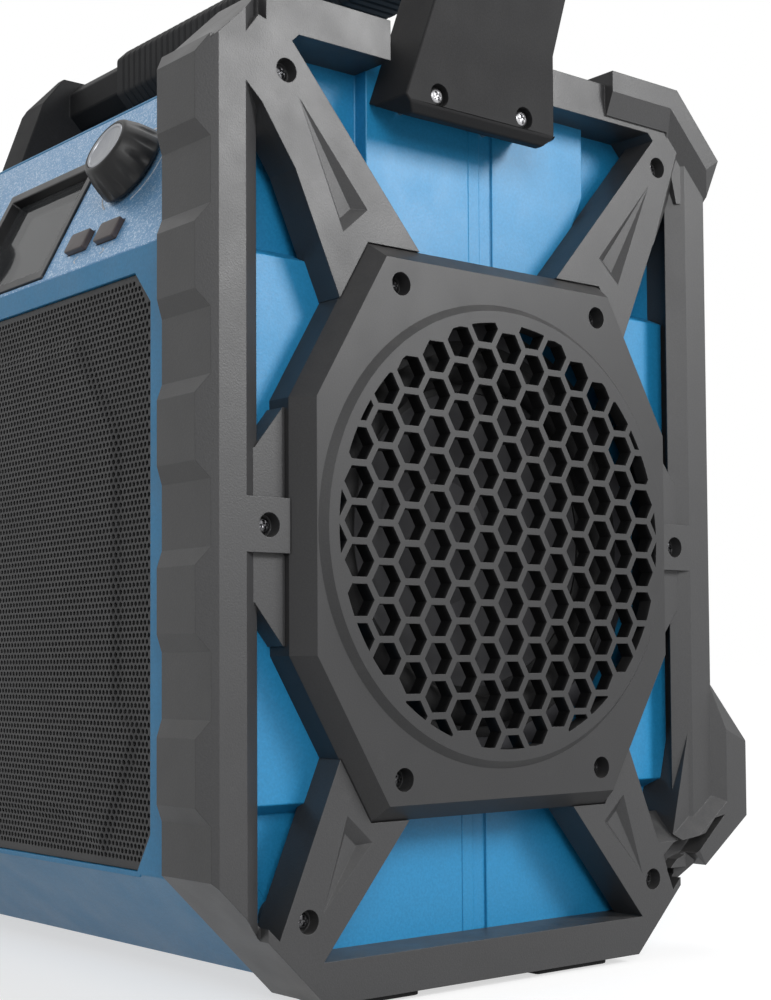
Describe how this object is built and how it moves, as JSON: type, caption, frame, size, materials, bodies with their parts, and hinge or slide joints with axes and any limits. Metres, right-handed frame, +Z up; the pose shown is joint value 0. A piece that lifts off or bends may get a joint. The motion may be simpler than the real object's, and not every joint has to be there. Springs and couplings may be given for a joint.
{
  "type": "jobsite radio",
  "caption": "Portable jobsite radio in a blue housing between black side guards, with honeycomb speaker bezels, a tilted control panel, a carrying handle and a battery door.",
  "frame": {"origin": "on the ground under the centre of the radio's bounding box", "axes": "+X to the radio's right as seen from the front, -Y the front, +Z up"},
  "size_m": [0.35, 0.253, 0.4105],
  "materials": {
    "housing_blue": "fine grained blue moulding",
    "panel_blue": "metallic light blue",
    "guard_black": "coarse grained black moulding",
    "bezel_black": "satin black moulding",
    "grille_black": "black powder coat",
    "knob_black": "satin black",
    "knob_metal": "satin",
    "button_brown": "satin brown grey",
    "display_black": "gloss black",
    "display_glass": "smoked clear",
    "module_grey": "matt",
    "board_green": "circuit board",
    "basket_steel": "black stamped steel",
    "magnet_iron": "ferrite",
    "cone_paper": "pressed paper",
    "rubber_black": "matt",
    "screw_steel": "blackened",
    "screw_bright": "zinc plated",
    "shaft_brass": "nickelled",
    "handle_black": "satin black",
    "battery_case": "matt"
  },
  "bodies": {
    "radio": {"front_shell": "housing_blue", "rear_shell": "housing_blue", "control_panel": "panel_blue", "display_bezel": "display_black", "display_lens": "display_glass", "display_module": "module_grey", "control_board": "board_green", "volume_encoder": "module_grey", "tuning_encoder": "module_grey", "speaker_grille": "grille_black", "left_driver_basket": "basket_steel", "left_driver_surround": "rubber_black", "right_driver_basket": "basket_steel", "right_driver_surround": "rubber_black", "left_woofer_basket": "basket_steel", "left_woofer_magnet": "magnet_iron", "left_woofer_surround": "rubber_black", "right_woofer_basket": "basket_steel", "right_woofer_magnet": "magnet_iron", "right_woofer_surround": "rubber_black", "left_guard": "guard_black", "right_guard": "guard_black", "left_bezel": "bezel_black", "right_bezel": "bezel_black", "guard_screws": "screw_steel", "bezel_screws": "screw_steel", "handle": "handle_black", "handle_grip": "rubber_black", "handle_screws": "screw_bright", "feet": "rubber_black", "battery_door_pin": "screw_bright", "battery_pack": "battery_case", "main_board": "board_green", "amp_board": "board_green", "socket_plate": "handle_black", "aux_socket": "display_black", "dc_socket": "display_black", "flap_pin": "screw_bright", "antenna_mount": "handle_black"},
    "volume_knob": {"volume_knob": "knob_black", "volume_knob_cap": "knob_metal", "volume_shaft": "shaft_brass"},
    "tuning_knob": {"tuning_knob": "knob_black", "tuning_knob_cap": "knob_metal", "tuning_shaft": "shaft_brass"},
    "source_button": {"source_button": "button_brown"},
    "band_button": {"band_button": "button_brown"},
    "down_button": {"down_button": "button_brown"},
    "up_button": {"up_button": "button_brown"},
    "power_button": {"power_button": "button_brown"},
    "left_driver_cone": {"left_driver_cone": "cone_paper"},
    "right_driver_cone": {"right_driver_cone": "cone_paper"},
    "left_woofer_cone": {"left_woofer_cone": "cone_paper"},
    "right_woofer_cone": {"right_woofer_cone": "cone_paper"},
    "battery_door": {"battery_door": "housing_blue"},
    "door_fastener": {"door_fastener": "handle_black"},
    "socket_flap": {"socket_flap": "rubber_black"},
    "antenna_base": {"antenna_base": "handle_black"},
    "antenna_rod": {"antenna_rod": "rubber_black"}
  },
  "joints": [
    {"name": "volume_turn", "type": "hinge", "parent": "radio", "child": "volume_knob", "pos_m": [0.0737, -0.09784, 0.29618], "axis": [0, -0.891, 0.454], "continuous": true},
    {"name": "tuning_turn", "type": "hinge", "parent": "radio", "child": "tuning_knob", "pos_m": [-0.0737, -0.09784, 0.29618], "axis": [0, -0.891, 0.454], "continuous": true},
    {"name": "source_press", "type": "slide", "parent": "radio", "child": "source_button", "axis": [0, 0.891, -0.454], "range_m": [0, 0.001], "stiffness_N_per_m": 400},
    {"name": "band_press", "type": "slide", "parent": "radio", "child": "band_button", "axis": [0, 0.891, -0.454], "range_m": [0, 0.001], "stiffness_N_per_m": 400},
    {"name": "down_press", "type": "slide", "parent": "radio", "child": "down_button", "axis": [0, 0.891, -0.454], "range_m": [0, 0.001], "stiffness_N_per_m": 400},
    {"name": "up_press", "type": "slide", "parent": "radio", "child": "up_button", "axis": [0, 0.891, -0.454], "range_m": [0, 0.001], "stiffness_N_per_m": 400},
    {"name": "power_press", "type": "slide", "parent": "radio", "child": "power_button", "axis": [0, 0.891, -0.454], "range_m": [0, 0.001], "stiffness_N_per_m": 400},
    {"name": "left_driver_stroke", "type": "slide", "parent": "radio", "child": "left_driver_cone", "axis": [0, -1, 0], "range_m": [-0.0015, 0.0015], "stiffness_N_per_m": 1500, "deforming": ["left_driver_surround"]},
    {"name": "left_woofer_stroke", "type": "slide", "parent": "radio", "child": "left_woofer_cone", "axis": [-1, 0, 0], "range_m": [-0.003, 0.003], "stiffness_N_per_m": 1500, "deforming": ["left_woofer_surround"]},
    {"name": "right_driver_stroke", "type": "slide", "parent": "radio", "child": "right_driver_cone", "axis": [0, -1, 0], "range_m": [-0.0015, 0.0015], "stiffness_N_per_m": 1500, "deforming": ["right_driver_surround"]},
    {"name": "right_woofer_stroke", "type": "slide", "parent": "radio", "child": "right_woofer_cone", "axis": [1, 0, 0], "range_m": [-0.003, 0.003], "stiffness_N_per_m": 1500, "deforming": ["right_woofer_surround"]},
    {"name": "battery_door_swing", "type": "hinge", "parent": "radio", "child": "battery_door", "pos_m": [0, 0.1075, 0.041], "axis": [-1, 0, 0], "range_deg": [0, 95]},
    {"name": "fastener_turn", "type": "hinge", "parent": "battery_door", "child": "door_fastener", "pos_m": [0, 0.1035, 0.128], "axis": [0, 1, 0], "range_deg": [0, 90]},
    {"name": "flap_lift", "type": "hinge", "parent": "radio", "child": "socket_flap", "pos_m": [0.104, 0.1074, 0.093], "axis": [1, 0, 0], "range_deg": [0, 115]},
    {"name": "antenna_swing", "type": "hinge", "parent": "radio", "child": "antenna_base", "pos_m": [-0.112, 0.1035, 0.287], "axis": [0, -1, 0], "range_deg": [0, 120]},
    {"name": "antenna_tilt", "type": "hinge", "parent": "antenna_base", "child": "antenna_rod", "pos_m": [-0.112, 0.1165, 0.287], "axis": [0, 0, 1], "range_deg": [0, 90]}
  ]
}
